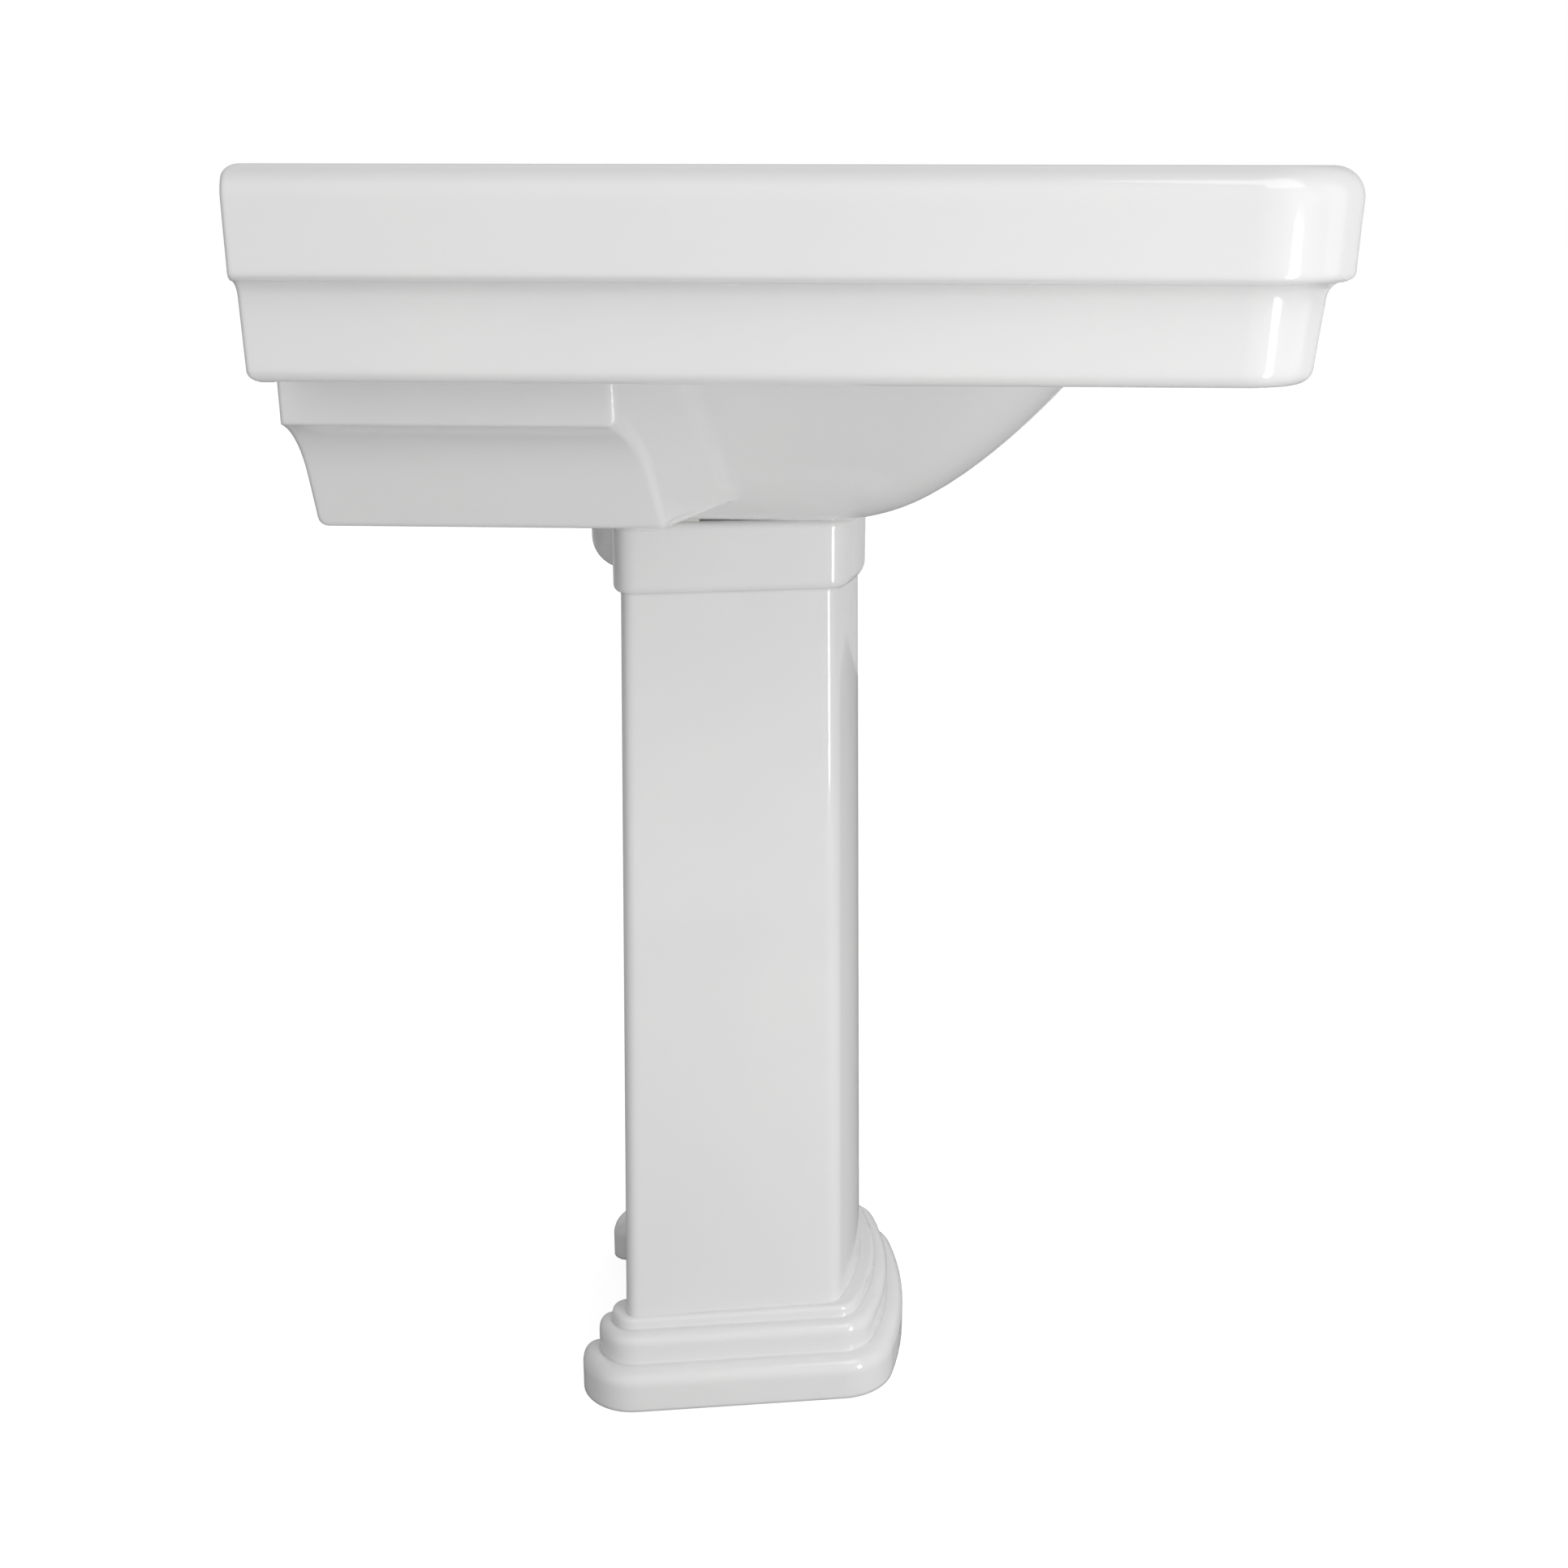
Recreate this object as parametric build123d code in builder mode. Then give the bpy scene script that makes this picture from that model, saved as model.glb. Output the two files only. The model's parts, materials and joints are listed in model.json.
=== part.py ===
from build123d import *
import os
from math import sqrt

# A pedestal sink: a china basin on an open-backed china pedestal, with its pop-up drain and trap.
# The origin is on the floor under the middle of the basin. The wall is at +Y and the front is at -Y.

os.makedirs("parts", exist_ok=True)

# Basin, overall
WIDTH = 700.0
DEPTH = 560.0
RIM_Z = 864.0
WALL_Y = DEPTH / 2
CORNER_R = 60.0

# Apron moulding, as distances in from the widest outline and down from the rim
RIM_EDGE_R = 16.0
RIM_FLAT_IN = 30.0
UPPER_BAND_H = 53.0
UPPER_BAND_IN = 1.5
BAND_LIP_R = 4.0
STEP_IN = 5.5
COVE_R = 9.5
LOWER_BAND_IN = 19.0
APRON_H = 106.0
APRON_EDGE_R = 8.0
APRON_WALL = 14.0
APRON_BACK_IN = 33.0
DECK_T = 14.0
DECK_INSET = 20.0
BACK_INSET = 24.0
BACK_EDGE_R = 6.0
BACK_WALL_T = 12.0

# Moulded block under the back of the basin
BLOCK_TOP_HALF = 287.0
BLOCK_LEDGE_HALF = 281.0
BLOCK_LEDGE_Z = RIM_Z - 133.0
BLOCK_COVE_HALF = 238.0
BLOCK_COVE_Z = RIM_Z - 168.0
BLOCK_FOOT_HALF = 222.0
BLOCK_BOTTOM_Z = RIM_Z - 199.0
BLOCK_FRONT_Y = 102.0
BLOCK_INNER_Y = 36.0
BLOCK_INNER_HALF = 100.0
BLOCK_EDGE_R = 6.0
VALLEY_R = 10.0
BLOCK_WALL = 12.0
BLOCK_COVE_BULGE = (0.62, 0.4)
UPRIGHT = 0.1

# Bowl: the hull outside and the cavity inside, both swelling with height by a power law
HULL_TOP_HALF = 262.0
HULL_TOP_FRONT = -236.0
HULL_TOP_BACK = 124.0
HULL_FOOT_Z = RIM_Z - 216.0
HULL_FOOT_HALF = 91.0
HULL_FOOT_FRONT = -31.5
HULL_FOOT_BACK = 152.0
HULL_POWER = 0.62
HULL_TOP_R = 82.0
HULL_FOOT_R = 30.0
CAVITY_TOP_HALF = 250.0
CAVITY_TOP_FRONT = -226.0
CAVITY_TOP_BACK = 110.0
CAVITY_POWER = 0.43
CAVITY_TOP_R = 70.0
BOWL_DEPTH = 190.0
DRAIN_FLAT_HALF = 37.0
BOWL_LIP_R = 7.0
LEVELS = [0.0, 0.05, 0.14, 0.28, 0.48, 0.72, 1.0]

# Drain seat, and the hollow nose of the basin that hangs inside the pedestal
DRAIN_Y = 65.0
FLOOR_Z = RIM_Z - BOWL_DEPTH
DRAIN_HOLE_R = 22.5
BOSS_R = 38.0
BOSS_BOTTOM_Z = FLOOR_Z - 36.0
NOSE_BOTTOM_Z = RIM_Z - 257.0
NOSE_FRONT_Y = -10.0
NOSE_BACK_Y = 148.0
NOSE_FRONT_HALF = 50.0
NOSE_BACK_HALF = 71.0
NOSE_EDGE_R = 22.0
NOSE_WALL = 13.0
NOSE_CORNER_R = 20.0
POCKET_TOP_Z = FLOOR_Z - 24.0

# Holes in the basin
FAUCET_HOLE_R = 17.5
FAUCET_SPACING = 101.6
FAUCET_Y = WALL_Y - 76.0
WALL_HOLE_R = 6.5
WALL_HOLE_X = 140.0
WALL_HOLE_Z = RIM_Z - 80.0
OVERFLOW_R = 5.5
OVERFLOW_Y = 122.0
OVERFLOW_TOP_Z = RIM_Z - 62.0
OVERFLOW_LOW_Z = FLOOR_Z - 13.0

# Pedestal, as outlines at the top and bottom of the shaft
SHAFT_TOP = {"back": 124.0, "back_half": 96.0, "front": -14.0, "front_half": 70.0, "nose": -28.0}
SHAFT_FOOT = {"back": 134.0, "back_half": 103.0, "front": -22.0, "front_half": 76.0, "nose": -38.0}
PLINTH_CORE = {"back": 137.0, "back_half": 99.0, "front": -25.0, "front_half": 74.0, "nose": -42.0}
SHAFT_CORNER_R = 13.0
SHAFT_BACK_R = 8.0
SHAFT_END_R = 8.0
OPENING_HALF = 75.0
OPENING_FRONT_Y = 60.0
CHINA_WALL = 12.0
PEDESTAL_TOP_Z = RIM_Z - 218.0
COLLAR_BOTTOM_Z = RIM_Z - 264.5
COLLAR_OUT = 5.5
COLLAR_EDGE_R = 5.4
PLINTH_TOP_Z = 63.0
PLINTH_TIERS = [  # growth, bottom, top, edge radius, outer and inner radius of the back ends
    (29.5, 0.0, 31.0, 11.0, 38.0, 12.0),
    (17.0, 31.0, 54.0, 8.0, 27.0, 11.0),
    (7.0, 54.0, PLINTH_TOP_Z, 3.5, 16.0, 12.0),
]
WEB_T = 12.0
WEB_BACK_Y = 62.0
HOLLOW_OVERRUN = 0.05
FLOOR_HOLE_R = 6.0
FLOOR_HOLE_Y = 40.0
PAD_T = HULL_FOOT_Z - PEDESTAL_TOP_Z
PAD_SIZE = (9.0, 24.0)
PAD_PLACES = [(72.0, 15.0), (84.5, 85.0)]

# Drain fitting, all on the drain axis
FLANGE_R = 30.0
FLANGE_T = 2.5
GASKET_T = 1.5
DRAIN_TUBE_R = 20.5
DRAIN_BORE_R = 17.5
DRAIN_BOTTOM_Z = 596.0
SLOT_HALF = 4.0
LOWER_GASKET_R = 31.0
LOWER_GASKET_T = 6.0
WASHER_R = 30.0
WASHER_T = 1.5
NUT_HALF = 28.0
NUT_T = 10.0
FIT = 0.1

# Stopper
STOPPER_TRAVEL = 8.0
CAP_R = 25.0
CAP_T = 4.5
CAP_EDGE_R = 3.2
CAP_SEAL_R = 22.0
CAP_SEAL_T = 2.2
STEM_R = 3.0
STEM_FIT = 0.06
HUB_R = 5.5
HUB_TOP_Z = FLOOR_Z - 14.0
HUB_BOTTOM_Z = FLOOR_Z - 50.0
FIN_T = 2.0
SPRING_R = 4.2
SPRING_WIRE_R = 0.5
SPRING_TURNS = 5
SPRING_FLANGE_R = 6.0
SPRING_FLANGE_T = 1.2

# Tailpiece and bottle trap
TAIL_R = 15.9
TAIL_BORE_R = 14.7
TAIL_BOTTOM_Z = 442.0
TAIL_COLLAR_H = 12.0
TAIL_SEAL_T = 2.0
BODY_R = 30.0
BODY_WALL = 2.5
BODY_TOP_Z = 520.0
BODY_BOTTOM_Z = 457.0
NECK_R = 20.0
NECK_TOP_Z = 542.0
OUTLET_Z = 498.0
OUTLET_Y = 110.0
OUTLET_BORE_R = 16.2
OUTLET_PIPE_R = 20.0
SLIP_NUT_R = 25.0
SLIP_NUT_H = 20.0
SLIP_WASHER_T = 4.0
SLIP_LIP_T = 3.0
CUP_R = 33.5
CUP_TOP_Z = 470.0
CUP_BOTTOM_Z = 418.0
CUP_WALL = 2.8
CUP_SEAL_T = 2.0
GRIP_R = 1.8
GRIP_COUNT = 12


def share(low, high, part):
    """The value a given part of the way from low to high."""
    return low + (high - low) * part


def four_sided(half, front, back, corner_r):
    """A rounded rectangle across the sink, between a front and a back."""
    with Locations((0, (front + back) / 2)):
        RectangleRounded(2 * half, back - front, corner_r)


def shaft_outline(level, grow, back_r=0.0):
    """The plan of the pedestal at one level: straight sides that close towards a bowed front."""
    slope = (level["back_half"] - level["front_half"]) / (level["back"] - level["front"])
    back = level["back"] + grow
    front = level["front"] - grow
    widen = grow * sqrt(1 + slope**2)
    back_half = level["back_half"] + grow * slope + widen
    front_half = level["front_half"] - grow * slope + widen
    with BuildSketch(mode=Mode.PRIVATE) as plan:
        with BuildLine():
            Line((-back_half, back), (-front_half, front))
            ThreePointArc((-front_half, front), (0, level["nose"] - grow), (front_half, front))
            Line((front_half, front), (back_half, back))
            Line((back_half, back), (-back_half, back))
        make_face()
        corners = plan.vertices().group_by(Axis.Y)
        fillet(corners[0], max(SHAFT_CORNER_R + grow, COLLAR_EDGE_R))
        if back_r:
            fillet(plan.vertices().group_by(Axis.Y)[-1], back_r)
    return plan.sketch


def walled_plan(level, grow, back_r, end_r):
    """The pedestal's plan with the opening in its back cut out and the two back ends rounded."""
    with BuildSketch(mode=Mode.PRIVATE) as plan:
        add(shaft_outline(level, grow, back_r))
        with Locations((0, OPENING_FRONT_Y)):
            Rectangle(2 * OPENING_HALF, DEPTH, align=(Align.CENTER, Align.MIN), mode=Mode.SUBTRACT)
        tips = plan.vertices().group_by(Axis.Y)[-1]
        fillet(tips.filter_by(lambda tip: abs(abs(tip.X) - OPENING_HALF) < FIT), end_r)
    return plan.sketch


def ring(inner_r, outer_r, low_z, high_z, corner_r=0.0):
    """A ring about the drain axis, with its outer edges rounded if a radius is given."""
    with BuildPart(Plane((0, DRAIN_Y, low_z)), mode=Mode.PRIVATE) as body:
        Cylinder(outer_r, high_z - low_z, align=(Align.CENTER, Align.CENTER, Align.MIN))
        if corner_r:
            fillet(body.edges().filter_by(GeomType.CIRCLE), corner_r)
        if inner_r:
            Hole(inner_r)
    return body.part


def finish(piece, name):
    """Names a piece and writes it out."""
    piece.label = name
    export_step(piece, f"parts/{name}.step")


def apron_path():
    """The widest outline of the basin, from the wall round the front and back to the wall."""
    with BuildLine(Plane.XY.offset(RIM_Z), mode=Mode.PRIVATE) as path:
        side = Line((-WIDTH / 2, WALL_Y), (-WIDTH / 2, CORNER_R - DEPTH / 2))
        JernArc(side @ 1, tangent=side % 1, radius=CORNER_R, arc_size=90)
        front = Line((CORNER_R - WIDTH / 2, -DEPTH / 2), (WIDTH / 2 - CORNER_R, -DEPTH / 2))
        JernArc(front @ 1, tangent=front % 1, radius=CORNER_R, arc_size=90)
        Line((WIDTH / 2, CORNER_R - DEPTH / 2), (WIDTH / 2, WALL_Y))
    return path.wires()[0]


def apron_profile():
    """The moulding's section: an upper band, a cove below its lip, and a lower band."""
    at_wall = Plane(origin=(-WIDTH / 2, WALL_Y, RIM_Z), x_dir=(1, 0, 0), z_dir=(0, -1, 0))
    cove_top = UPPER_BAND_H + BAND_LIP_R / 2
    with BuildSketch(at_wall, mode=Mode.PRIVATE) as section:
        with BuildLine():
            top = Line((RIM_FLAT_IN, 0), (0, 0))
            face = Line(top @ 1, (UPPER_BAND_IN, -UPPER_BAND_H))
            lip = Line(face @ 1, (STEP_IN, -cove_top))
            cove = RadiusArc(lip @ 1, (STEP_IN + COVE_R, -cove_top - COVE_R), COVE_R)
            lower = Line(cove @ 1, (LOWER_BAND_IN, -APRON_H))
            Polyline(
                lower @ 1,
                (APRON_BACK_IN, -APRON_H),
                (APRON_BACK_IN, -cove_top),
                (APRON_WALL, COVE_R - cove_top),
                (APRON_WALL, -DECK_T),
                (RIM_FLAT_IN, -DECK_T),
                top @ 0,
            )
        make_face()
        fillet(section.vertices().sort_by_distance(top @ 1)[0], RIM_EDGE_R)
        fillet(section.vertices().sort_by_distance(face @ 1)[0], BAND_LIP_R)
        fillet(section.vertices().sort_by_distance(lower @ 1)[0], APRON_EDGE_R)
    return section.sketch


def block_profile():
    """The rear block's section across the sink: an upper band, a cove and a lower band."""
    top_z = RIM_Z - DECK_T / 2
    across = Plane(origin=(0, WALL_Y, 0), x_dir=(1, 0, 0), z_dir=(0, -1, 0))
    with BuildSketch(across, mode=Mode.PRIVATE) as section:
        with BuildLine() as half:
            top = Line((0, top_z), (BLOCK_TOP_HALF, top_z))
            band = Line(top @ 1, (BLOCK_LEDGE_HALF, BLOCK_LEDGE_Z))
            cove = ThreePointArc(
                band @ 1,
                (
                    share(BLOCK_LEDGE_HALF, BLOCK_COVE_HALF, BLOCK_COVE_BULGE[0]),
                    share(BLOCK_LEDGE_Z, BLOCK_COVE_Z, BLOCK_COVE_BULGE[1]),
                ),
                (BLOCK_COVE_HALF, BLOCK_COVE_Z),
            )
            foot = Line(cove @ 1, (BLOCK_FOOT_HALF, BLOCK_BOTTOM_Z))
            Line(foot @ 1, (0, BLOCK_BOTTOM_Z))
            mirror(half.line, about=Plane.YZ)
        make_face()
    return section.sketch


def block_plan():
    """The rear block's plan: its front end runs back towards its outer corners."""
    with BuildSketch(Plane.XY.offset(BLOCK_BOTTOM_Z), mode=Mode.PRIVATE) as plan:
        with BuildLine():
            Polyline(
                (-BLOCK_TOP_HALF, WALL_Y),
                (-BLOCK_TOP_HALF, BLOCK_FRONT_Y),
                (-BLOCK_INNER_HALF, BLOCK_INNER_Y),
                (BLOCK_INNER_HALF, BLOCK_INNER_Y),
                (BLOCK_TOP_HALF, BLOCK_FRONT_Y),
                (BLOCK_TOP_HALF, WALL_Y),
                close=True,
            )
        make_face()
    return plan.sketch


# ---- Basin ----
with BuildPart() as block:
    extrude(block_profile(), amount=WALL_Y)
    extrude(block_plan(), amount=RIM_Z, mode=Mode.INTERSECT)
    ends = block.edges().filter_by(
        lambda edge: edge.center().Y < BLOCK_FRONT_Y
        and abs(edge.center().X) > BLOCK_FOOT_HALF
        and abs(edge.tangent_at(0).Z) > UPRIGHT
    )
    fillet(ends + block.edges().group_by(Axis.Z)[0], BLOCK_EDGE_R)

with BuildPart() as hull:
    for level in LEVELS:
        swell = level**HULL_POWER
        with BuildSketch(Plane.XY.offset(share(HULL_FOOT_Z, RIM_Z - 2, level))):
            four_sided(
                share(HULL_FOOT_HALF, HULL_TOP_HALF, swell),
                share(HULL_FOOT_FRONT, HULL_TOP_FRONT, swell),
                share(HULL_FOOT_BACK, HULL_TOP_BACK, level),
                share(HULL_FOOT_R, HULL_TOP_R, swell),
            )
    loft()

with BuildPart() as cavity:
    for level in LEVELS:
        swell = level**CAVITY_POWER
        with BuildSketch(Plane.XY.offset(share(FLOOR_Z, RIM_Z, level))):
            four_sided(
                share(DRAIN_FLAT_HALF, CAVITY_TOP_HALF, swell),
                share(DRAIN_Y - DRAIN_FLAT_HALF, CAVITY_TOP_FRONT, swell),
                share(DRAIN_Y + DRAIN_FLAT_HALF, CAVITY_TOP_BACK, swell),
                share(DRAIN_FLAT_HALF - 1, CAVITY_TOP_R, swell),
            )
    loft()

with BuildPart() as nose:
    with BuildSketch(Plane.XY.offset(NOSE_BOTTOM_Z)) as nose_plan:
        Polygon(
            (-NOSE_BACK_HALF, NOSE_BACK_Y),
            (-NOSE_FRONT_HALF, NOSE_FRONT_Y),
            (NOSE_FRONT_HALF, NOSE_FRONT_Y),
            (NOSE_BACK_HALF, NOSE_BACK_Y),
            align=None,
        )
        fillet(nose_plan.vertices(), NOSE_CORNER_R)
    extrude(amount=HULL_FOOT_Z + NOSE_WALL - NOSE_BOTTOM_Z)
    fillet(nose.edges().group_by(Axis.Z)[0], NOSE_EDGE_R)

with BuildPart() as basin:
    add(block.part)
    for pocket_half, pocket_z in (
        (BLOCK_FOOT_HALF - BLOCK_WALL, BLOCK_BOTTOM_Z),
        (BLOCK_LEDGE_HALF - BLOCK_WALL, BLOCK_LEDGE_Z),
    ):
        with BuildSketch(Plane.XY.offset(pocket_z)):
            four_sided(pocket_half, BLOCK_FRONT_Y + BLOCK_WALL, WALL_Y - BACK_WALL_T, BLOCK_WALL)
        extrude(amount=RIM_Z - pocket_z, mode=Mode.SUBTRACT)
    add(hull.part)
    valley = basin.edges(Select.NEW).filter_by(lambda edge: edge.center().Y < BLOCK_FRONT_Y)
    fillet(valley, VALLEY_R)
    add(nose.part)
    with BuildSketch(Plane.XY.offset(NOSE_BOTTOM_Z)):
        add(nose_plan.sketch.moved(Location((0, 0, -NOSE_BOTTOM_Z))))
        offset(amount=-NOSE_WALL)
    extrude(amount=POCKET_TOP_Z - NOSE_BOTTOM_Z, mode=Mode.SUBTRACT)
    with BuildSketch(Plane.XY.offset(BOSS_BOTTOM_Z)):
        with Locations((0, DRAIN_Y)):
            Circle(BOSS_R)
    extrude(amount=FLOOR_Z - BOSS_BOTTOM_Z)
    sweep(apron_profile(), path=apron_path())
    with BuildSketch(Plane.XY.offset(RIM_Z - DECK_T)):
        four_sided(WIDTH / 2 - DECK_INSET, DECK_INSET - DEPTH / 2, WALL_Y - DECK_INSET, CORNER_R - DECK_INSET)
    extrude(amount=DECK_T)
    with BuildSketch(Plane.XY.offset(RIM_Z - APRON_H)):
        with Locations((0, WALL_Y)):
            Rectangle(WIDTH - 2 * BACK_INSET, BACK_WALL_T, align=(Align.CENTER, Align.MAX))
    extrude(amount=APRON_H)
    with BuildSketch(Plane.XY.offset(RIM_Z - DECK_T)):
        with Locations((0, WALL_Y)):
            Rectangle(WIDTH - 2 * BACK_INSET, 2 * DECK_INSET, align=(Align.CENTER, Align.MAX))
    extrude(amount=DECK_T)
    # The back's top edge and the apron's back corners are rounded by cutting along X.
    for corner_z, edge_z, low_x, high_x in (
        (RIM_Z - BACK_EDGE_R, RIM_Z, -WIDTH / 2, WIDTH / 2),
        (RIM_Z - APRON_H + BACK_EDGE_R, RIM_Z - APRON_H, BLOCK_TOP_HALF, WIDTH / 2),
        (RIM_Z - APRON_H + BACK_EDGE_R, RIM_Z - APRON_H, -WIDTH / 2, -BLOCK_TOP_HALF),
    ):
        with BuildSketch(Plane.YZ.offset(low_x)):
            with Locations((WALL_Y, edge_z)):
                Rectangle(2 * BACK_EDGE_R, 2 * BACK_EDGE_R)
            with Locations((WALL_Y - BACK_EDGE_R, corner_z)):
                Circle(BACK_EDGE_R, mode=Mode.SUBTRACT)
        extrude(amount=high_x - low_x, mode=Mode.SUBTRACT)
    add(cavity.part, mode=Mode.SUBTRACT)
    lip = basin.edges().group_by(Axis.Z)[-1].filter_by(
        lambda edge: abs(edge.center().X) < CAVITY_TOP_HALF + 1
        and CAVITY_TOP_FRONT - 1 < edge.center().Y < CAVITY_TOP_BACK + 1
    )
    fillet(lip, BOWL_LIP_R)
    with Locations((0, DRAIN_Y, FLOOR_Z)):
        Hole(DRAIN_HOLE_R)
    with Locations(*[(x, FAUCET_Y, RIM_Z) for x in (-FAUCET_SPACING, 0, FAUCET_SPACING)]):
        Hole(FAUCET_HOLE_R, depth=2 * DECK_T)
    with Locations(*[Pos(x, WALL_Y, WALL_HOLE_Z) * Rot(-90, 0, 0) for x in (-WALL_HOLE_X, WALL_HOLE_X)]):
        Hole(WALL_HOLE_R, depth=2 * BACK_WALL_T)
    with BuildLine() as overflow_path:
        Polyline(
            (0, CAVITY_TOP_BACK - 2 * OVERFLOW_R, OVERFLOW_TOP_Z),
            (0, OVERFLOW_Y, OVERFLOW_TOP_Z),
            (0, OVERFLOW_Y, OVERFLOW_LOW_Z),
            (0, DRAIN_Y, OVERFLOW_LOW_Z),
        )
    with BuildSketch(Plane(overflow_path.line @ 0, z_dir=overflow_path.line % 0)):
        Circle(OVERFLOW_R)
    sweep(path=overflow_path.line, transition=Transition.RIGHT, mode=Mode.SUBTRACT)

# ---- Pedestal ----
tiers = []
for grow, low_z, high_z, edge_r, back_r, end_r in PLINTH_TIERS:
    with BuildPart() as tier:
        with BuildSketch(Plane.XY.offset(low_z)):
            add(walled_plan(PLINTH_CORE, grow, back_r, end_r))
        extrude(amount=high_z - low_z)
        fillet(tier.edges().group_by(Axis.Z)[-1], edge_r)
    tiers.append(tier.part)

with BuildPart() as collar:
    with BuildSketch(Plane.XY.offset(COLLAR_BOTTOM_Z)):
        add(walled_plan(SHAFT_TOP, COLLAR_OUT, SHAFT_BACK_R + COLLAR_OUT, SHAFT_END_R))
    extrude(amount=PEDESTAL_TOP_Z - COLLAR_BOTTOM_Z)
    fillet(collar.edges().group_by(Axis.Z)[0] + collar.edges().group_by(Axis.Z)[-1], COLLAR_EDGE_R)

with BuildPart() as hollow:
    for level in (-HOLLOW_OVERRUN, 1 + HOLLOW_OVERRUN):
        plan = {key: share(SHAFT_FOOT[key], SHAFT_TOP[key], level) for key in SHAFT_FOOT}
        with BuildSketch(Plane.XY.offset(level * PEDESTAL_TOP_Z)):
            add(shaft_outline(plan, -CHINA_WALL, COLLAR_EDGE_R))
    loft()

with BuildPart() as pedestal:
    with BuildSketch(Plane.XY):
        add(walled_plan(SHAFT_FOOT, 0, SHAFT_BACK_R, SHAFT_END_R))
    with BuildSketch(Plane.XY.offset(PEDESTAL_TOP_Z)):
        add(walled_plan(SHAFT_TOP, 0, SHAFT_BACK_R, SHAFT_END_R))
    loft()
    add(collar.part)
    add(tiers)
    add(hollow.part, mode=Mode.SUBTRACT)
    with BuildSketch(Plane.XY):
        add(shaft_outline(SHAFT_FOOT, -CHINA_WALL / 2))
        with Locations((0, WEB_BACK_Y)):
            Rectangle(WIDTH, DEPTH, align=(Align.CENTER, Align.MAX), mode=Mode.INTERSECT)
    extrude(amount=WEB_T)
    with Locations((0, FLOOR_HOLE_Y, WEB_T)):
        Hole(FLOOR_HOLE_R, depth=WEB_T)

with BuildPart() as rest_pads:
    for side in (-1, 1):
        for pad_x, pad_y in PAD_PLACES:
            with BuildSketch(Plane.XY.offset(PEDESTAL_TOP_Z)):
                with Locations((side * pad_x, pad_y)):
                    Rectangle(*PAD_SIZE)
            extrude(amount=PAD_T)

# ---- Drain fitting ----
flange_low = FLOOR_Z + GASKET_T
flange_top = flange_low + FLANGE_T
with BuildPart() as drain_body:
    with BuildSketch(Plane.YZ) as drain_section:
        with BuildLine():
            Polyline(
                (DRAIN_Y + DRAIN_BORE_R, DRAIN_BOTTOM_Z),
                (DRAIN_Y + DRAIN_TUBE_R, DRAIN_BOTTOM_Z),
                (DRAIN_Y + DRAIN_TUBE_R, flange_low),
                (DRAIN_Y + FLANGE_R, flange_low),
                (DRAIN_Y + FLANGE_R, flange_top - FLANGE_T / 2),
                (DRAIN_Y + FLANGE_R - FLANGE_T, flange_top),
                (DRAIN_Y + DRAIN_BORE_R + FLANGE_T, flange_top),
                (DRAIN_Y + DRAIN_BORE_R, flange_top - FLANGE_T),
                close=True,
            )
        make_face()
    revolve(axis=Axis((0, DRAIN_Y, 0), (0, 0, 1)))
    with BuildSketch(Plane.XZ.offset(-DRAIN_Y - 2 * DRAIN_TUBE_R)):
        with Locations((0, OVERFLOW_LOW_Z)):
            SlotCenterToCenter(OVERFLOW_R, 2 * SLOT_HALF, rotation=90)
    extrude(amount=4 * DRAIN_TUBE_R, mode=Mode.SUBTRACT)

boss_z = BOSS_BOTTOM_Z
washer_z = boss_z - LOWER_GASKET_T
nut_z = washer_z - WASHER_T
flange_gasket = ring(DRAIN_TUBE_R + FIT, FLANGE_R - 1, FLOOR_Z, flange_low)
lower_gasket = ring(DRAIN_TUBE_R + FIT, LOWER_GASKET_R, washer_z, boss_z, LOWER_GASKET_T / 4)
friction_washer = ring(DRAIN_TUBE_R + FIT, WASHER_R, nut_z, washer_z)

with BuildPart() as drain_locknut:
    with BuildSketch(Plane.XY.offset(nut_z - NUT_T)):
        with Locations((0, DRAIN_Y)):
            RegularPolygon(NUT_HALF, 6, major_radius=False)
            Circle(DRAIN_TUBE_R + FIT, mode=Mode.SUBTRACT)
    extrude(amount=NUT_T)
    chamfer(drain_locknut.edges().filter_by(Axis.Z), NUT_T / 10)

# ---- Stopper ----
cap_seal_z = flange_top + STOPPER_TRAVEL + FIT / 2
cap_z = cap_seal_z + CAP_SEAL_T
stem_low = HUB_BOTTOM_Z + 2 * STOPPER_TRAVEL
spring_top = flange_top - SPRING_FLANGE_T
with BuildPart() as stopper_cap:
    with BuildSketch(Plane.XY.offset(cap_z)):
        with Locations((0, DRAIN_Y)):
            Circle(CAP_R)
    extrude(amount=CAP_T)
    fillet(stopper_cap.edges().group_by(Axis.Z)[-1], CAP_EDGE_R)

stopper_cap_seal = ring(STEM_R + FIT, CAP_SEAL_R, cap_seal_z, cap_z, CAP_SEAL_T / 4)

with BuildPart() as stopper_stem:
    with BuildSketch(Plane.XY.offset(stem_low)):
        with Locations((0, DRAIN_Y)):
            Circle(STEM_R)
    extrude(amount=cap_z - stem_low)
    with BuildSketch(Plane.XY.offset(spring_top)):
        with Locations((0, DRAIN_Y)):
            Circle(SPRING_FLANGE_R)
    extrude(amount=SPRING_FLANGE_T)

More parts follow.
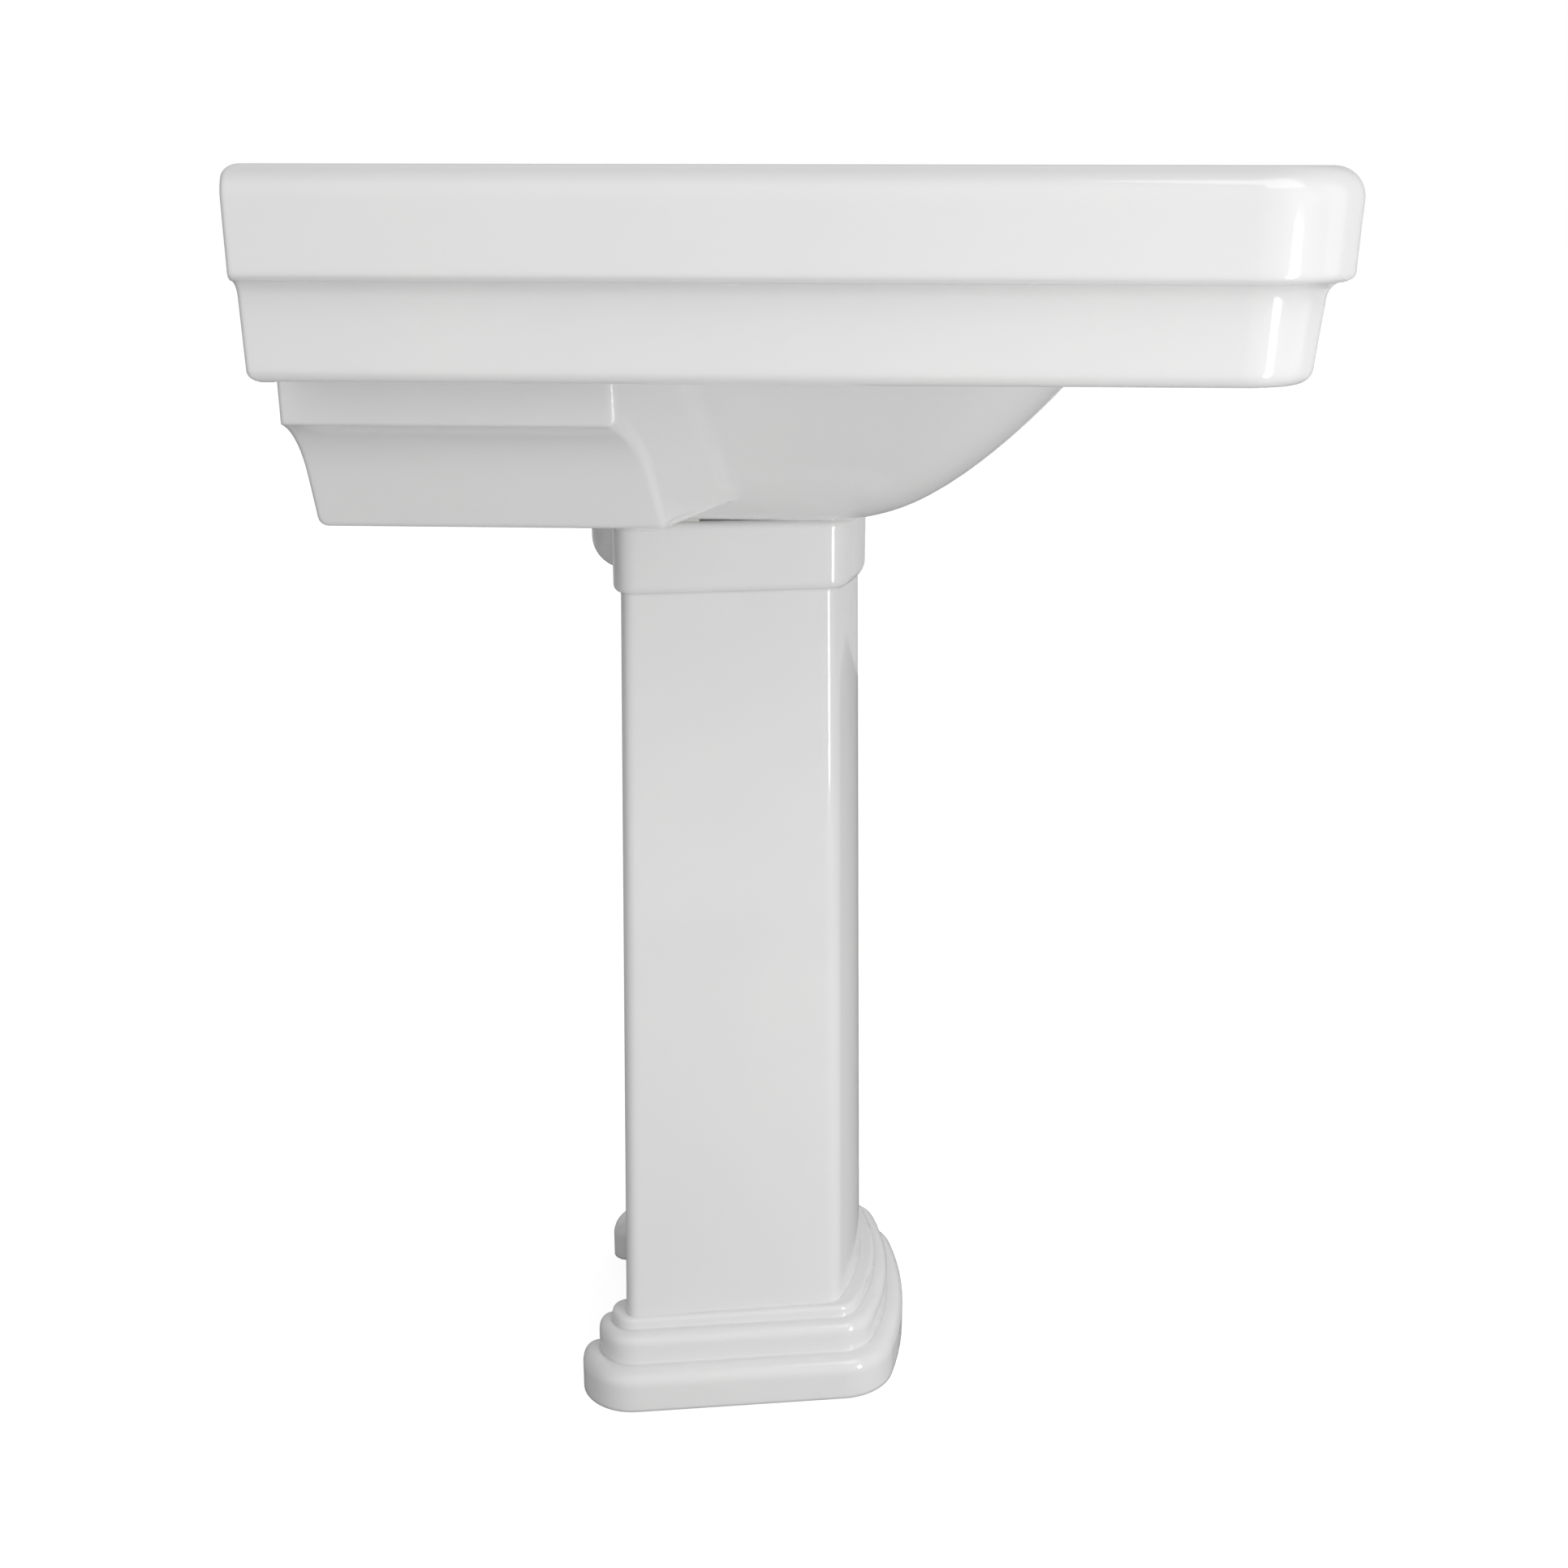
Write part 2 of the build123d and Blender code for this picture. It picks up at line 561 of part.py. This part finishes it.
with BuildPart() as stopper_cartridge:
    with BuildSketch(Plane.XY.offset(HUB_BOTTOM_Z)):
        with Locations((0, DRAIN_Y)):
            Circle(HUB_R)
    extrude(amount=HUB_TOP_Z - HUB_BOTTOM_Z)
    with BuildSketch(Plane.XY.offset(HUB_BOTTOM_Z)):
        with Locations((0, DRAIN_Y)):
            with PolarLocations(0, 3, start_angle=90):
                Rectangle(DRAIN_BORE_R - FIT, FIN_T, align=(Align.MIN, Align.CENTER))
    extrude(amount=(HUB_TOP_Z - HUB_BOTTOM_Z) / 2)
    with Locations((0, DRAIN_Y, HUB_TOP_Z)):
        Hole(STEM_R + STEM_FIT)

spring_low = HUB_TOP_Z + SPRING_WIRE_R + FIT
spring_high = spring_top - SPRING_WIRE_R - FIT
with BuildPart() as stopper_spring:
    with BuildLine() as coil:
        Helix(
            pitch=(spring_high - spring_low) / SPRING_TURNS,
            height=spring_high - spring_low,
            radius=SPRING_R,
            center=(0, DRAIN_Y, spring_low),
        )
    with BuildSketch(Plane(coil.line @ 0, z_dir=coil.line % 0)):
        Circle(SPRING_WIRE_R)
    sweep(is_frenet=True)

# ---- Tailpiece and bottle trap ----
tail_top = DRAIN_BOTTOM_Z + TAIL_COLLAR_H
tail_outer = ring(TAIL_BORE_R, TAIL_R, TAIL_BOTTOM_Z, tail_top)
tail_collar = ring(TAIL_BORE_R, DRAIN_BORE_R - FIT, DRAIN_BOTTOM_Z, tail_top)
with BuildPart() as tailpiece:
    add(tail_outer)
    add(tail_collar)

tailpiece_seal = ring(TAIL_BORE_R, DRAIN_BORE_R - FIT, tail_top, tail_top + TAIL_SEAL_T)

with BuildPart() as trap_body:
    with BuildSketch(Plane.XY.offset(BODY_BOTTOM_Z)):
        with Locations((0, DRAIN_Y)):
            Circle(BODY_R)
    extrude(amount=BODY_TOP_Z - BODY_BOTTOM_Z)
    fillet(trap_body.edges().group_by(Axis.Z)[-1], BODY_WALL)
    with BuildSketch(Plane.XY.offset(BODY_TOP_Z)):
        with Locations((0, DRAIN_Y)):
            Circle(NECK_R)
    extrude(amount=NECK_TOP_Z - BODY_TOP_Z)
    with BuildSketch(Plane.XZ.offset(-OUTLET_Y)):
        with Locations((0, OUTLET_Z)):
            Circle(OUTLET_PIPE_R)
    extrude(amount=OUTLET_Y - DRAIN_Y)
    with BuildSketch(Plane.XY.offset(BODY_BOTTOM_Z)):
        with Locations((0, DRAIN_Y)):
            Circle(BODY_R - BODY_WALL)
    extrude(amount=BODY_TOP_Z - BODY_WALL - BODY_BOTTOM_Z, mode=Mode.SUBTRACT)
    with BuildSketch(Plane.XY.offset(BODY_BOTTOM_Z)):
        with Locations((0, DRAIN_Y)):
            Circle(TAIL_R + FIT)
    extrude(amount=NECK_TOP_Z - BODY_BOTTOM_Z, mode=Mode.SUBTRACT)
    with BuildSketch(Plane.XZ.offset(-OUTLET_Y)):
        with Locations((0, OUTLET_Z)):
            Circle(OUTLET_BORE_R)
    extrude(amount=OUTLET_Y - DRAIN_Y, mode=Mode.SUBTRACT)


def slip_nut(place, shoulder_r, bore_r):
    """A ribbed slip-joint nut whose lip faces along the place's normal."""
    with BuildPart(mode=Mode.PRIVATE) as nut:
        with BuildSketch(place):
            Circle(SLIP_NUT_R)
            with PolarLocations(SLIP_NUT_R, GRIP_COUNT):
                Circle(GRIP_R)
        extrude(amount=SLIP_NUT_H)
        with BuildSketch(place):
            Circle(shoulder_r)
        extrude(amount=SLIP_NUT_H - SLIP_LIP_T, mode=Mode.SUBTRACT)
        with BuildSketch(place):
            Circle(bore_r)
        extrude(amount=SLIP_NUT_H, mode=Mode.SUBTRACT)
    return nut.part


trap_inlet_washer = ring(TAIL_R + FIT, NECK_R, NECK_TOP_Z, NECK_TOP_Z + SLIP_WASHER_T)
inlet_low = NECK_TOP_Z + SLIP_WASHER_T + SLIP_LIP_T - SLIP_NUT_H
trap_inlet_nut = slip_nut(Plane((0, DRAIN_Y, inlet_low)), NECK_R + FIT, TAIL_R + 2 * FIT)

outlet_back = Plane(origin=(0, OUTLET_Y, OUTLET_Z), x_dir=(1, 0, 0), z_dir=(0, 1, 0))
with BuildPart() as trap_outlet_washer:
    with BuildSketch(outlet_back):
        Circle(OUTLET_PIPE_R)
        Circle(OUTLET_BORE_R, mode=Mode.SUBTRACT)
    extrude(amount=SLIP_WASHER_T)

outlet_low = OUTLET_Y + SLIP_WASHER_T + SLIP_LIP_T - SLIP_NUT_H
outlet_place = Plane(origin=(0, outlet_low, OUTLET_Z), x_dir=(1, 0, 0), z_dir=(0, 1, 0))
trap_outlet_nut = slip_nut(outlet_place, OUTLET_PIPE_R + FIT, OUTLET_BORE_R)

cup_ledge_z = BODY_BOTTOM_Z - CUP_SEAL_T
with BuildPart() as trap_cup:
    with BuildSketch(Plane((0, DRAIN_Y, CUP_BOTTOM_Z))):
        Circle(CUP_R)
        with PolarLocations(CUP_R, 2 * GRIP_COUNT):
            Circle(GRIP_R)
    extrude(amount=CUP_TOP_Z - CUP_BOTTOM_Z)
    fillet(trap_cup.edges().group_by(Axis.Z)[0], GRIP_R / 3)
    with BuildSketch(Plane((0, DRAIN_Y, CUP_BOTTOM_Z + CUP_WALL))):
        Circle(BODY_R - BODY_WALL)
    extrude(amount=CUP_TOP_Z - CUP_BOTTOM_Z, mode=Mode.SUBTRACT)
    with BuildSketch(Plane((0, DRAIN_Y, cup_ledge_z))):
        Circle(BODY_R + FIT)
    extrude(amount=CUP_TOP_Z - cup_ledge_z, mode=Mode.SUBTRACT)

trap_cup_seal = ring(BODY_R - BODY_WALL, BODY_R, cup_ledge_z, BODY_BOTTOM_Z)

PIECES = {
    "basin": basin.part,
    "pedestal": pedestal.part,
    "rest_pads": rest_pads.part,
    "drain_body": drain_body.part,
    "flange_gasket": flange_gasket,
    "lower_gasket": lower_gasket,
    "friction_washer": friction_washer,
    "drain_locknut": drain_locknut.part,
    "stopper_cap": stopper_cap.part,
    "stopper_cap_seal": stopper_cap_seal,
    "stopper_stem": stopper_stem.part,
    "stopper_cartridge": stopper_cartridge.part,
    "stopper_spring": stopper_spring.part,
    "tailpiece": tailpiece.part,
    "tailpiece_seal": tailpiece_seal,
    "trap_body": trap_body.part,
    "trap_inlet_nut": trap_inlet_nut,
    "trap_inlet_washer": trap_inlet_washer,
    "trap_cup": trap_cup.part,
    "trap_cup_seal": trap_cup_seal,
    "trap_outlet_nut": trap_outlet_nut,
    "trap_outlet_washer": trap_outlet_washer.part,
}
for piece_name, piece in PIECES.items():
    finish(piece, piece_name)
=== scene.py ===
import json
from math import cos, radians, sin

import bpy
from mathutils import Matrix, Vector


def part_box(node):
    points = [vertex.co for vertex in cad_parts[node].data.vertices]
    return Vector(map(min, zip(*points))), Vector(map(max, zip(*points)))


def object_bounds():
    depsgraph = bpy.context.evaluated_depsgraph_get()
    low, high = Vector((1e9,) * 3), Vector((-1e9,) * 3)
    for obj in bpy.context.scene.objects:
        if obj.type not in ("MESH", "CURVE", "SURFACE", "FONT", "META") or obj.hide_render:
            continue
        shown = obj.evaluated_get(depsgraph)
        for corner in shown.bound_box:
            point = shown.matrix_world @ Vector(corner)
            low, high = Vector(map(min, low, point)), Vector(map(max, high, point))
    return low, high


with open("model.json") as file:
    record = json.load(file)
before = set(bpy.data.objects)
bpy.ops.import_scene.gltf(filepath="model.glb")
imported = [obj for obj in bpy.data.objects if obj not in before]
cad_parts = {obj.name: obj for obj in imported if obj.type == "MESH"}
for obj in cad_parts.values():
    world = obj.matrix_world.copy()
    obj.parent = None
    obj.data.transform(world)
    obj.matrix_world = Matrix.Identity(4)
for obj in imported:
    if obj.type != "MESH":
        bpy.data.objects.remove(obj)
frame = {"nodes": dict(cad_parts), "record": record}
cad_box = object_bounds()


# ---- Materials ----
NOISE_USUAL_LOW = 0.3
NOISE_USUAL_HIGH = 0.7
GLAZE_SOFTNESS = 0.004


class Finish:
    """A material under construction: its node tree and its surface shader."""

    def __init__(self, name, color, roughness, metallic=0.0):
        self.material = bpy.data.materials.new(name)
        self.material.use_nodes = True
        self.tree = self.material.node_tree
        self.shader = self.tree.nodes["Principled BSDF"]
        self.shader.inputs["Base Color"].default_value = (*color, 1.0)
        self.shader.inputs["Roughness"].default_value = roughness
        self.shader.inputs["Metallic"].default_value = metallic
        self.place = self.node("ShaderNodeTexCoord").outputs["Object"]

    def node(self, kind, **inputs):
        """A new node, with its inputs set to numbers or linked from other nodes' outputs."""
        made = self.tree.nodes.new(kind)
        for key, value in inputs.items():
            self.feed(made, key.replace("_", " "), value)
        return made

    def feed(self, node, key, value):
        """Sets an input of a node to a number, or links it from another node's output."""
        socket = node.inputs[key]
        if isinstance(value, bpy.types.NodeSocket):
            self.tree.links.new(value, socket)
        else:
            socket.default_value = value

    def noise(self, scale, detail=3.0, stretch=(1.0, 1.0, 1.0)):
        """Noise over the surface, with features about 1/scale metres across."""
        mapping = self.node("ShaderNodeMapping", Vector=self.place, Scale=stretch)
        texture = self.node("ShaderNodeTexNoise", Vector=mapping.outputs["Vector"], Scale=scale, Detail=detail)
        return texture.outputs["Fac"]

    def between(self, value, low, high):
        """A number that runs from low to high as a noise value runs over its usual range."""
        made = self.node("ShaderNodeMapRange", Value=value)
        made.inputs["From Min"].default_value = NOISE_USUAL_LOW
        made.inputs["From Max"].default_value = NOISE_USUAL_HIGH
        made.inputs["To Min"].default_value = low
        made.inputs["To Max"].default_value = high
        return made.outputs["Result"]

    def tones(self, value, low, high):
        """A colour that runs from low to high as a noise value runs over its usual range."""
        mix = self.node("ShaderNodeMix")
        mix.data_type = "RGBA"
        # A colour mix has its factor in socket 0, its colours in 6 and 7, and its result in output 2.
        self.tree.links.new(self.between(value, 0.0, 1.0), mix.inputs[0])
        mix.inputs[6].default_value = (*low, 1.0)
        mix.inputs[7].default_value = (*high, 1.0)
        self.feed(self.shader, "Base Color", mix.outputs[2])

    def soften(self, radius):
        """Rounds the look of every edge and crease, as a melted glaze does. Gives the normal."""
        bevel = self.node("ShaderNodeBevel", Radius=radius)
        bevel.samples = 8
        return bevel.outputs["Normal"]

    def bumps(self, *layers, normal=None):
        """Stacks bump layers of (height, strength, distance) and gives them to the shader."""
        for height, strength, distance in layers:
            bump = self.node("ShaderNodeBump", Height=height, Strength=strength, Distance=distance)
            if normal is not None:
                self.feed(bump, "Normal", normal)
            normal = bump.outputs["Normal"]
        self.feed(self.shader, "Normal", normal)


def make_china():
    """Vitreous china under a clear gloss glaze, with the glaze's slow waves and a few pinholes."""
    made = Finish("china", (0.86, 0.86, 0.86), 0.07)
    made.tones(made.noise(7.0), (0.846, 0.848, 0.848), (0.868, 0.867, 0.863))
    made.feed(made.shader, "Roughness", made.between(made.noise(40.0), 0.05, 0.09))
    made.feed(made.shader, "IOR", 1.53)
    made.bumps(
        (made.noise(22.0, 2.0), 0.25, 0.0004),
        (made.noise(260.0, 2.0), 0.12, 0.00005),
        normal=made.soften(GLAZE_SOFTNESS),
    )
    return made.material


def make_chrome():
    made = Finish("polished_chrome", (0.78, 0.79, 0.8), 0.08, 1.0)
    made.feed(made.shader, "Roughness", made.between(made.noise(140.0, 6.0), 0.04, 0.13))
    made.bumps((made.noise(60.0), 0.1, 0.00004), normal=made.soften(0.0005))
    return made.material


def make_steel():
    made = Finish("stem_steel", (0.6, 0.6, 0.61), 0.3, 1.0)
    lines = made.noise(500.0, 4.0, (1.0, 1.0, 8.0))
    made.feed(made.shader, "Roughness", made.between(lines, 0.22, 0.4))
    made.bumps((lines, 0.15, 0.00003), normal=made.soften(0.0003))
    return made.material


def make_brass():
    made = Finish("brass_nut", (0.72, 0.54, 0.26), 0.3, 1.0)
    made.tones(made.noise(90.0, 5.0), (0.6, 0.43, 0.2), (0.78, 0.6, 0.31))
    lines = made.noise(400.0, 4.0, (1.0, 1.0, 6.0))
    made.feed(made.shader, "Roughness", made.between(lines, 0.24, 0.42))
    made.bumps((lines, 0.2, 0.00004), normal=made.soften(0.0005))
    return made.material


def make_black_rubber():
    made = Finish("black_rubber", (0.03, 0.03, 0.03), 0.7)
    made.tones(made.noise(200.0, 5.0), (0.022, 0.022, 0.023), (0.045, 0.044, 0.043))
    made.feed(made.shader, "Roughness", made.between(made.noise(350.0), 0.58, 0.8))
    made.bumps((made.noise(900.0, 4.0), 0.35, 0.0001), normal=made.soften(0.0004))
    return made.material


def make_pad_rubber():
    made = Finish("pad_rubber", (0.74, 0.74, 0.72), 0.6)
    made.tones(made.noise(160.0, 4.0), (0.69, 0.69, 0.66), (0.77, 0.77, 0.75))
    made.feed(made.shader, "Roughness", made.between(made.noise(400.0), 0.5, 0.7))
    made.bumps((made.noise(800.0, 4.0), 0.3, 0.0001), normal=made.soften(0.0004))
    return made.material


def make_grey_plastic():
    made = Finish("grey_plastic", (0.42, 0.43, 0.44), 0.45)
    made.tones(made.noise(80.0), (0.39, 0.4, 0.41), (0.46, 0.47, 0.48))
    made.feed(made.shader, "Roughness", made.between(made.noise(500.0), 0.38, 0.55))
    made.bumps((made.noise(1200.0, 3.0), 0.25, 0.00006), normal=made.soften(0.0004))
    return made.material


def make_white_plastic():
    made = Finish("white_plastic", (0.82, 0.82, 0.8), 0.32)
    made.tones(made.noise(50.0), (0.79, 0.79, 0.76), (0.84, 0.84, 0.82))
    made.feed(made.shader, "Roughness", made.between(made.noise(600.0), 0.25, 0.4))
    made.bumps((made.noise(1000.0, 3.0), 0.2, 0.00006), normal=made.soften(0.0006))
    return made.material


finishes = {
    "china": make_china(),
    "polished_chrome": make_chrome(),
    "stem_steel": make_steel(),
    "brass_nut": make_brass(),
    "black_rubber": make_black_rubber(),
    "pad_rubber": make_pad_rubber(),
    "grey_plastic": make_grey_plastic(),
    "white_plastic": make_white_plastic(),
}
for part in frame["record"]["subparts"]:
    piece = frame["nodes"][part["node"]]
    for slot in piece.material_slots:
        slot.material = finishes[part["material_slot"]]


# ---- Floor, light and camera ----
low = cad_box[0]
rim_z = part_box("basin")[1].z
STAGE_HALF = 20.0
STAGE_TOP = 30.0
FLOOR_GAP = 0.0005
SHEET_GAP = 0.001
SHEET_LEFT = -1.02
SHEET_RIGHT = 2.0
SHEET_FRONT = -1.4
SHEET_BACK = 1.3


def make_stage(name, verts, faces, color, glow):
    """A matte stage surface that gives off some light of its own, if glow is above 0."""
    mesh = bpy.data.meshes.new(name)
    mesh.from_pydata(verts, [], faces)
    stage = bpy.data.objects.new(name, mesh)
    bpy.context.scene.collection.objects.link(stage)
    made = Finish(name, (color, color, color), 0.95)
    made.feed(made.shader, "Specular IOR Level", 0.0)
    made.feed(made.shader, "Emission Color", (1.0, 1.0, 1.0, 1.0))
    made.feed(made.shader, "Emission Strength", glow)
    mesh.materials.append(made.material)
    return stage


def make_studio():
    """A pale floor and backdrop for the camera, and a white sheet under the sink that throws light up at it."""
    z = low.z - FLOOR_GAP
    corners = [
        (-STAGE_HALF, -STAGE_HALF, z),
        (STAGE_HALF, -STAGE_HALF, z),
        (STAGE_HALF, STAGE_HALF, z),
        (-STAGE_HALF, STAGE_HALF, z),
    ]
    floor = make_stage("studio_floor", corners, [(0, 1, 2, 3)], 0.55, 0.78)
    walls = corners + [(x, y, STAGE_TOP) for x, y, _ in corners]
    backdrop = make_stage(
        "studio_backdrop", walls, [(0, 4, 5, 1), (1, 5, 6, 2), (2, 6, 7, 3), (3, 7, 4, 0), (4, 7, 6, 5)], 0.0, 1.0
    )
    for stage in (floor, backdrop):
        stage.visible_diffuse = False
        stage.visible_glossy = False
        stage.visible_transmission = False
        stage.visible_shadow = False
    z -= SHEET_GAP
    sheet = [
        (SHEET_LEFT, SHEET_FRONT, z),
        (SHEET_RIGHT, SHEET_FRONT, z),
        (SHEET_RIGHT, SHEET_BACK, z),
        (SHEET_LEFT, SHEET_BACK, z),
    ]
    make_stage("white_sheet", sheet, [(0, 1, 2, 3)], 0.48, 0.0).visible_camera = False


def make_world():
    """Surroundings that are bright to the left, right and above, and dim to the front and back."""
    world = bpy.data.worlds.new("studio")
    bpy.context.scene.world = world
    world.use_nodes = True
    tree = world.node_tree
    background = tree.nodes["Background"]
    background.inputs["Color"].default_value = (1.0, 1.0, 1.0, 1.0)
    coordinates = tree.nodes.new("ShaderNodeTexCoord")
    parts = tree.nodes.new("ShaderNodeSeparateXYZ")
    tree.links.new(coordinates.outputs["Generated"], parts.inputs[0])
    total = None
    for axis, start, end, amount in (
        ("X", 0.2, 0.8, 0.58),
        ("X", -0.2, -0.8, 0.72),
        ("Y", 0.2, 0.8, 0.08),
        ("Y", -0.2, -0.8, 0.14),
        ("Z", 0.3, 0.9, 0.34),
    ):
        sector = tree.nodes.new("ShaderNodeMapRange")
        sector.interpolation_type = "SMOOTHSTEP"
        tree.links.new(parts.outputs[axis], sector.inputs["Value"])
        sector.inputs["From Min"].default_value = start
        sector.inputs["From Max"].default_value = end
        sector.inputs["To Min"].default_value = 0.0
        sector.inputs["To Max"].default_value = amount
        light = sector.outputs["Result"]
        if total is not None:
            both = tree.nodes.new("ShaderNodeMath")
            tree.links.new(total, both.inputs[0])
            tree.links.new(light, both.inputs[1])
            light = both.outputs[0]
        total = light
    tree.links.new(total, background.inputs["Strength"])


def make_light(name, place, aim, size, power):
    """A rectangular soft box at place that faces aim, with size (width, height)."""
    data = bpy.data.lights.new(name, "AREA")
    data.shape = "RECTANGLE"
    data.size, data.size_y = size
    data.energy = power
    light = bpy.data.objects.new(name, data)
    bpy.context.scene.collection.objects.link(light)
    light.location = place
    light.rotation_mode = "QUATERNION"
    light.rotation_quaternion = (Vector(aim) - Vector(place)).to_track_quat("-Z", "Y")


make_studio()
make_world()
make_light("high_front_box", (-1.3, -1.1, 2.6), (0, 0, 0.6), (1.2, 1.2), 11.5)
make_light("front_box", (-0.2, -2.6, 1.2), (0, 0, 0.6), (1.0, 2.2), 3.6)
make_light("corner_box", (-1.5, -1.5, 1.2), (0, 0, 0.7), (0.9, 1.6), 0.9)
make_light("corner_strip", (-1.14, -1.08, 0.37), (-0.07, -0.02, 0.37), (0.2, 0.72), 6.4)

CAMERA_DISTANCE = 0.9505
CAMERA_Y = -0.0347
CAMERA_YAW = radians(2.5)
CAMERA_PITCH = radians(18.0)
CAMERA_ROLL = radians(0.1)
SENSOR_MM = 36.0
LENS_MM = 43.8
ahead = Vector(
    (cos(CAMERA_YAW) * cos(CAMERA_PITCH), sin(CAMERA_YAW) * cos(CAMERA_PITCH), -sin(CAMERA_PITCH))
)
level_right = Vector((sin(CAMERA_YAW), -cos(CAMERA_YAW), 0.0))
level_up = level_right.cross(ahead)
right = level_right * cos(CAMERA_ROLL) + level_up * sin(CAMERA_ROLL)
up = level_up * cos(CAMERA_ROLL) - level_right * sin(CAMERA_ROLL)
camera_data = bpy.data.cameras.new("camera")
camera_data.sensor_width = SENSOR_MM
camera_data.lens = LENS_MM
camera = bpy.data.objects.new("camera", camera_data)
bpy.context.scene.collection.objects.link(camera)
camera_place = Matrix.Translation((low.x - CAMERA_DISTANCE, CAMERA_Y, rim_z))
camera_turn = Matrix((right, up, -ahead)).transposed().to_4x4()
camera.matrix_world = camera_place @ camera_turn
bpy.context.scene.camera = camera
bpy.context.scene.view_settings.view_transform = "Standard"
